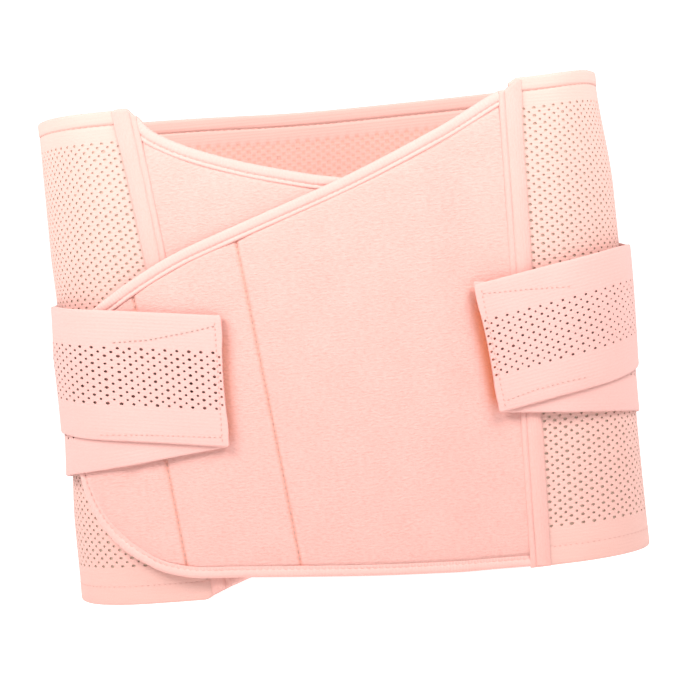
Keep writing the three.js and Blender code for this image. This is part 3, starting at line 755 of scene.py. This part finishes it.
channels = [
    make(f"{side}_channel", bone_channel(channel), TAPE, "channel_tape", f"{side}_bone_channel")
    for side, channel in (("left", LEFT_CHANNEL), ("right", RIGHT_CHANNEL))
]

# The straps: a pierced middle zone between two plain zones
BAND_COLUMNS, BAND_ROWS = 96, 8
BAND_HOLES = (0.30, 0.23), (0.175, 0.15)
CURL_LENGTH = 26  # length of the tip that curls away
ZIGZAG, ZIGZAG_PITCH = 0.45, 1.9  # height and pitch of the tip's cut
SLACK, SLACK_AT, SLACK_WIDE = 4.5, 182, 24  # depth, reach and width of an upper band's slack
PLAIN = 16.6
EDGE_LEVELS = np.array([0, 0.15, 0.5, 1.1, 4.5, 8.5, 12.5, PLAIN])


def band_edge(strap, rise, reach):
    """Height of a band's lower edge at a reach."""
    return strap["low_z"] + rise * (reach - strap["low_u"])


def band_lift(strap, reach, z, upper):
    """How far out a band's inner face lies: from the strap's low table to its high one by height, one
    layer more for the upper band, and the tip curling away."""
    share = smooth(z, *strap["lift_z"])
    lift = eased(strap["low_lift"], reach) * (1 - share) + eased(strap["high_lift"], reach) * share
    if upper:
        lift = lift + BAND_LIFT * smooth(BAND_END - reach, 0, BAND_SETTLE)
    return lift + strap["curl"] * (1 - smooth(reach - strap["high_u"], 0, CURL_LENGTH)) ** 2


def band_at(strap, rise, upper):
    """u, z and out of a band: cells run from its low u to its high u, with edges rounded to nothing."""

    def at(s, t, face, rim):
        s = s if strap["side"] > 0 else BAND_COLUMNS - s
        share = s / BAND_COLUMNS
        far = BAND_ROWS + len(EDGE_LEVELS) - 1
        across = np.interp(t, np.arange(1 - len(EDGE_LEVELS), 1), EDGE_LEVELS)
        high = BAND_WIDTH - np.interp(far - t, np.arange(len(EDGE_LEVELS)), EDGE_LEVELS)
        middle = PLAIN + (BAND_WIDTH - 2 * PLAIN) * t / BAND_ROWS
        across = np.where(t <= 0, across, np.where(t >= BAND_ROWS, high, middle))
        up = across / BAND_WIDTH
        tip = strap["low_u"] + (strap["high_u"] - strap["low_u"]) * up
        reach = tip + share * (BAND_END - tip)
        reach = reach + ZIGZAG * (s == 0) * np.cos(2 * math.pi * across / ZIGZAG_PITCH)
        slack = bell(reach - SLACK_AT, SLACK * (rise > 0), SLACK_WIDE)
        z = band_edge(strap, rise, reach) + across * math.hypot(1, rise) - slack * up
        edge = np.minimum(across, BAND_WIDTH - across)
        half = (BAND_THICK / 2 - 0.07 * rim) * rounded(edge, 1.1, 0.05)
        out = band_lift(strap, reach, z, upper) + BAND_THICK / 2 + half * np.where(face == 0, 1, -1)
        # The strap's holes get painted shade on the inner face's rims, by the strap's dark value
        return strap["side"] * reach, z, out, reach, across, strap["dark"] * rim * (face == 1)

    return at


for side, strap in STRAPS.items():
    for layer in ("lower", "upper"):
        part = pierced(
            BAND_COLUMNS, BAND_ROWS, len(EDGE_LEVELS) - 1, len(EDGE_LEVELS) - 1,
            *(np.array(BAND_HOLES) * strap["holes"]),
            band_at(strap, strap[layer], layer == "upper"), lambda column, row: 0 * row,
        )
        name = f"{side}_strap_{layer}"
        make(f"{side}_band_{layer}", part, STRAP, "strap_elastic", name)


# The hook tapes under the tips and under the over flap
def hook_pad(from_u, to_u, low_z, high_z, outer_at, thick):
    """Flat pad with rounded edges: thickness falls to nothing by a quarter circle at its border."""
    u, z = np.meshgrid(np.linspace(from_u, to_u, 24), np.linspace(low_z, high_z, 24), indexing="ij")
    edge = np.minimum(np.minimum(u - from_u, to_u - u), np.minimum(z - low_z, high_z - z))
    outer = outer_at(u)
    return wall(u, z, outer - thick * rounded(edge, 1.2, 0.05), outer)


for side, strap in STRAPS.items():
    near, far, low_z, high_z, thick = strap["pad"]
    from_u, to_u = (-far, -near) if strap["side"] < 0 else (near, far)
    part = hook_pad(
        from_u, to_u, low_z, high_z, lambda u: eased(strap["low_lift"], np.abs(u)) - GAP, thick,
    )
    make(f"{side}_hook_tape", part, HOOKS, "hook_tape", f"{side}_strap_hook_pad")
from_u, to_u, low_z, high_z, thick = FLAP_PAD
part = hook_pad(from_u, to_u, low_z, high_z, lambda u: eased(OVER_LIFT, u) - GAP, thick)
make("flap_hook_tape", part, HOOKS, "hook_tape", "flap_hook_pad")

# Stitches: pitch, length and radius of each kind
FLAP_STITCH, CHANNEL_STITCH = (3.2, 2.5, 0.24), (2.4, 2.0, 0.2)
HEM_STITCH, HEM_SEAM_STITCH = (2.8, 1.7, 0.16), (3.6, 3.5, 0.16)
STRAP_STITCH, BOLD_STITCH, TIP_STITCH = (2.6, 1.8, 0.24), (2.6, 1.8, 0.3), (2.6, 1.9, 0.2)
BINDING_GROOVE, CHANNEL_GROOVE, SEAM_SINK = 2.05, 0.36, 1.2  # over the base, and under a panel's face
HEM_OUT, HEM_SEAM_OUT, HEM_SEAM_IN = 1.82, 1.62, 0.48  # out from the loop


def stitch_row(u, z, out, pitch, length, radius, facing=1):
    """Stitches along a line of (u, z, out): each is a spindle of six sides and five rings whose ends
    dip into the cloth. facing is -1 on an inner face."""
    way = np.concatenate([[0], np.cumsum(np.hypot(np.diff(u), np.diff(z)))])
    centre = np.arange(pitch / 2, way[-1], pitch)[:, None, None]
    q = np.linspace(-1, 1, 5)[None, :, None]
    phi = np.arange(6)[None, None, :] * math.pi / 3
    run = centre + q * length / 2
    slope = np.interp(centre + 0.5, way, u) - np.interp(centre - 0.5, way, u)
    climb = np.interp(centre + 0.5, way, z) - np.interp(centre - 0.5, way, z)
    norm = np.hypot(slope, climb)
    thick = radius * np.sqrt(1.02 - q**2)
    su = np.interp(run, way, u) - climb / norm * thick * np.cos(phi)
    sz = np.interp(run, way, z) + slope / norm * thick * np.cos(phi)
    so = np.interp(run, way, out) + 0.9 * thick * np.sin(phi) + facing * radius * (0.7 - 1.6 * q**2)
    count = len(centre)
    index = np.arange(count * 30).reshape(count, 5, 6)
    ahead = np.roll(index, -1, 2)
    sides = np.stack([index[:, :-1], index[:, 1:], ahead[:, 1:], ahead[:, :-1]], -1).reshape(-1, 4)
    first, last = index[:, 0], index[:, -1]
    caps = [first[:, [0, 1, 2, 3]], first[:, [0, 3, 4, 5]], last[:, [3, 2, 1, 0]], last[:, [5, 4, 3, 0]]]
    uv = np.stack(np.broadcast_arrays(run, phi), -1) / 100
    return place(su, sz, so).reshape(-1, 3), uv.reshape(-1, 2), np.concatenate([sides, *caps])


def edge_stitches(rows, starts_at_top, lift):
    """The row of stitches in the groove of a flap's binding."""
    points = outline(rows, starts_at_top)
    t, _ = even_run(points, 0.8)
    u, z = beside(points, t, BINDING_SEAM * narrowed(t, starts_at_top)).T
    return stitch_row(u, z, eased(lift, u) + BINDING_GROOVE, *FLAP_STITCH)


def channel_stitches(channel):
    """A row of stitches up a channel's sewn groove."""
    z = np.linspace(max(channel["foot"]) + 1.5, channel["top"] - 6.5, 300)
    u = channel_u(channel, z, CHANNEL_SEAM * channel["flap"])
    return stitch_row(u, z, np.full_like(z, CHANNEL_BASE + CHANNEL_GROOVE), *CHANNEL_STITCH)


def seam_stitches(seam):
    """A row of stitches in a seam of the over flap."""
    low_u, low_z, high_u, high_z = OVER_ROWS[seam]
    share = np.linspace(0.045, 0.955, 200)
    u, z = low_u + (high_u - low_u) * share, low_z + (high_z - low_z) * share
    return stitch_row(u, z, eased(OVER_LIFT, u) + FLAP_THICK + PADDING - SEAM_SINK, *FLAP_STITCH)


def hem_line(edge, from_top):
    """u and z of the line round a hem at a distance from its edge."""
    share = np.linspace(0.002, 0.998, 900)
    top = eased(TOP_EDGE, wrap_along(share, HEIGHT))
    z = top - edge if from_top else edge + eased(RIM_EDGE, wrap_along(share, 0.0))
    return wrap_along(share, z), z


def hem_stitches():
    """The row of short stitches round the lower hem."""
    u, z = hem_line(HEM_LOW + 0.2, False)
    return stitch_row(u, z, np.full_like(u, HEM_OUT), *HEM_STITCH)


def hem_seam(out, facing):
    """The row of long stitches in the groove of the upper hem, on one face."""
    u, z = hem_line(HEM_HIGH, True)
    return stitch_row(u, z, np.full_like(u, out), *HEM_SEAM_STITCH, facing)


def strap_stitches(strap, kind, spots):
    """A row of stitches of a kind through (reach, z) spots on the upper band, nearest the tip first."""
    reach = np.linspace(spots[0][0], spots[-1][0], 160)
    z = np.interp(reach, *np.array(spots).T)
    return stitch_row(strap["side"] * reach, z, band_lift(strap, reach, z, True) + BAND_THICK, *kind)


def tip_stitches(strap):
    """The upright row of stitches just inside a tip."""
    share = np.linspace(0.03, 0.97, 120)
    reach = strap["low_u"] + (strap["high_u"] - strap["low_u"]) * share + 2.6
    z = band_edge(strap, strap["upper"], reach) + share * BAND_WIDTH * math.hypot(1, strap["upper"])
    return stitch_row(strap["side"] * reach, z, band_lift(strap, reach, z, True) + BAND_THICK, *TIP_STITCH)


part = joined([edge_stitches(*UNDER_FLAP), edge_stitches(*OVER_FLAP)])
binding_thread = make("binding_stitches", part, THREAD, "binding_tape")
part = joined([channel_stitches(LEFT_CHANNEL), channel_stitches(RIGHT_CHANNEL)])
make("channel_stitches", part, THREAD, "channel_tape")
part = joined([seam_stitches(seam) for seam in OVER_SEAMS])
seam_thread = make("seam_stitches", part, STRAP_THREAD, "flap_fabric")
make("hem_stitches", hem_stitches(), THREAD, "mesh_elastic")
part = joined([hem_seam(HEM_SEAM_OUT, 1), hem_seam(HEM_SEAM_IN, -1)])
make("hem_seam", part, STRAP_THREAD, "mesh_elastic")
left, right = STRAPS["left"], STRAPS["right"]
part = joined([
    strap_stitches(left, STRAP_STITCH, [(62, 79.9), (66, 80.3), (100.7, 84.4), (120.6, 86.2)]),
    strap_stitches(right, STRAP_STITCH, [(70.5, 137.6), (94.6, 137.6), (115.5, 136.9)]),
    strap_stitches(right, STRAP_STITCH, [(78.4, 83.9), (93.3, 87.8), (108.7, 90.1), (119, 91.3)]),
    tip_stitches(left),
    tip_stitches(right),
])
make("strap_stitches", part, STRAP_THREAD, "strap_elastic")
part = strap_stitches(left, BOLD_STITCH, [(59.5, 134.6), (75, 132.6), (93.5, 130.9), (112, 131.3)])
make("bold_stitches", part, DARK_THREAD, "strap_elastic")


# The studio, in metres
FLOOR_REACH = 60.0
BEND_AT, BEND, WALL_TOP = 1.2, 0.6, 3.0  # where the backdrop's bend starts, its radius, and the top
GLOW_FROM, GLOW_TO, GLOW_NEAR, GLOW_FAR = -1.4, -0.1, 0.7, 0.95  # two y and the paper's glow there
LAMPS = {"left_lamp": ((-0.39, -0.37, 0.52), 4.1), "right_lamp": ((0.33, -0.33, 0.54), 3.45)}
LAMP_SIZE = 0.3
LAMP_AIM = (0, 0, 0.14)
SKY_STRENGTH = 0.22


def studio_sweep():
    """Floor and backdrop in one: a flat floor, a quarter circle and an upright wall, carried sideways.
    Its paper glows, a painted light that is dimmer far in front and brighter near and behind the band,
    so the floor stays white round the band and the band is lit from below.
    """
    turn = np.linspace(0, math.pi / 2, 24)
    y = np.concatenate([[-FLOOR_REACH, -1.0], BEND_AT + BEND * np.sin(turn), [BEND_AT + BEND]])
    z = np.concatenate([[0, 0], BEND - BEND * np.cos(turn), [WALL_TOP]])
    x = np.array([-FLOOR_REACH, -1.0, 0.0, 1.0, FLOOR_REACH])
    gx, gy = np.meshgrid(x, y, indexing="ij")
    points = np.stack([gx, gy, np.broadcast_to(z, gx.shape)], -1).reshape(-1, 3)
    mesh = bpy.data.meshes.new("studio_sweep")
    mesh.from_pydata(points.tolist(), [], grid_quads(len(x), len(y)).tolist())
    mesh.shade_smooth()
    material, main, node, link = shader("glowing white paper", (0.35, 0.35, 0.35), 0.9)
    main.inputs["Emission Color"].default_value = (1, 1, 1, 1)
    where = node("ShaderNodeTexCoord")
    split = node("ShaderNodeSeparateXYZ")
    link(where.outputs["Object"], split.inputs["Vector"])
    glow = node("ShaderNodeMapRange")
    for socket, value in zip(glow.inputs[1:5], (GLOW_FROM, GLOW_TO, GLOW_NEAR, GLOW_FAR)):
        socket.default_value = value
    link(split.outputs["Y"], glow.inputs["Value"])
    link(glow.outputs["Result"], main.inputs["Emission Strength"])
    speck = node("ShaderNodeTexNoise", Scale=40.0)
    link(where.outputs["Object"], speck.inputs["Vector"])
    relief = node("ShaderNodeBump", Strength=0.02, Distance=0.0005)
    link(speck.outputs["Fac"], relief.inputs["Height"])
    link(relief.outputs["Normal"], main.inputs["Normal"])
    mesh.materials.append(material)
    sweep = bpy.data.objects.new("studio_sweep", mesh)
    bpy.context.scene.collection.objects.link(sweep)


def area_light(name, where, power):
    """A square white lamp turned towards the middle of the band."""
    data = bpy.data.lights.new(name, "AREA")
    data.size, data.energy = LAMP_SIZE, power
    lamp = bpy.data.objects.new(name, data)
    back = Vector(where) - Vector(LAMP_AIM)
    lamp.matrix_world = Matrix.Translation(where) @ back.to_track_quat("Z", "Y").to_matrix().to_4x4()
    bpy.context.scene.collection.objects.link(lamp)


studio_sweep()
for name, (where, power) in LAMPS.items():
    area_light(name, where, power)

world = bpy.data.worlds.new("studio")
bpy.context.scene.world = world
world.use_nodes = True
world.node_tree.nodes["Background"].inputs["Color"].default_value = (1, 1, 1, 1)
world.node_tree.nodes["Background"].inputs["Strength"].default_value = SKY_STRENGTH

# The camera: in front, a little above the middle, tilted and rolled as in the photograph
CAMERA_AT = (0.0, -1050.0, 139.0)
PITCH, YAW, ROLL = math.radians(-1.0), math.radians(-0.02), math.radians(-5.589)
side_way = np.array([math.cos(YAW), -math.sin(YAW), 0])
ahead_way = np.array([math.sin(YAW) * math.cos(PITCH), math.cos(YAW) * math.cos(PITCH), math.sin(PITCH)])
up_way = np.cross(side_way, ahead_way)
right_way = math.cos(ROLL) * side_way + math.sin(ROLL) * up_way
high_way = -math.sin(ROLL) * side_way + math.cos(ROLL) * up_way
lens = bpy.data.cameras.new("camera")
lens.sensor_width = 36
lens.lens = 106.5
lens.dof.use_dof = False
camera = bpy.data.objects.new("camera", lens)
turned = Matrix(np.column_stack([right_way, high_way, -ahead_way]).tolist()).to_4x4()
spot = (CAMERA_AT[0] * MM + SHIFT_X, CAMERA_AT[1] * MM + SHIFT_Y, CAMERA_AT[2] * MM)
camera.matrix_world = Matrix.Translation(spot) @ turned
bpy.context.scene.collection.objects.link(camera)
bpy.context.scene.camera = camera
bpy.context.scene.view_settings.view_transform = "Standard"
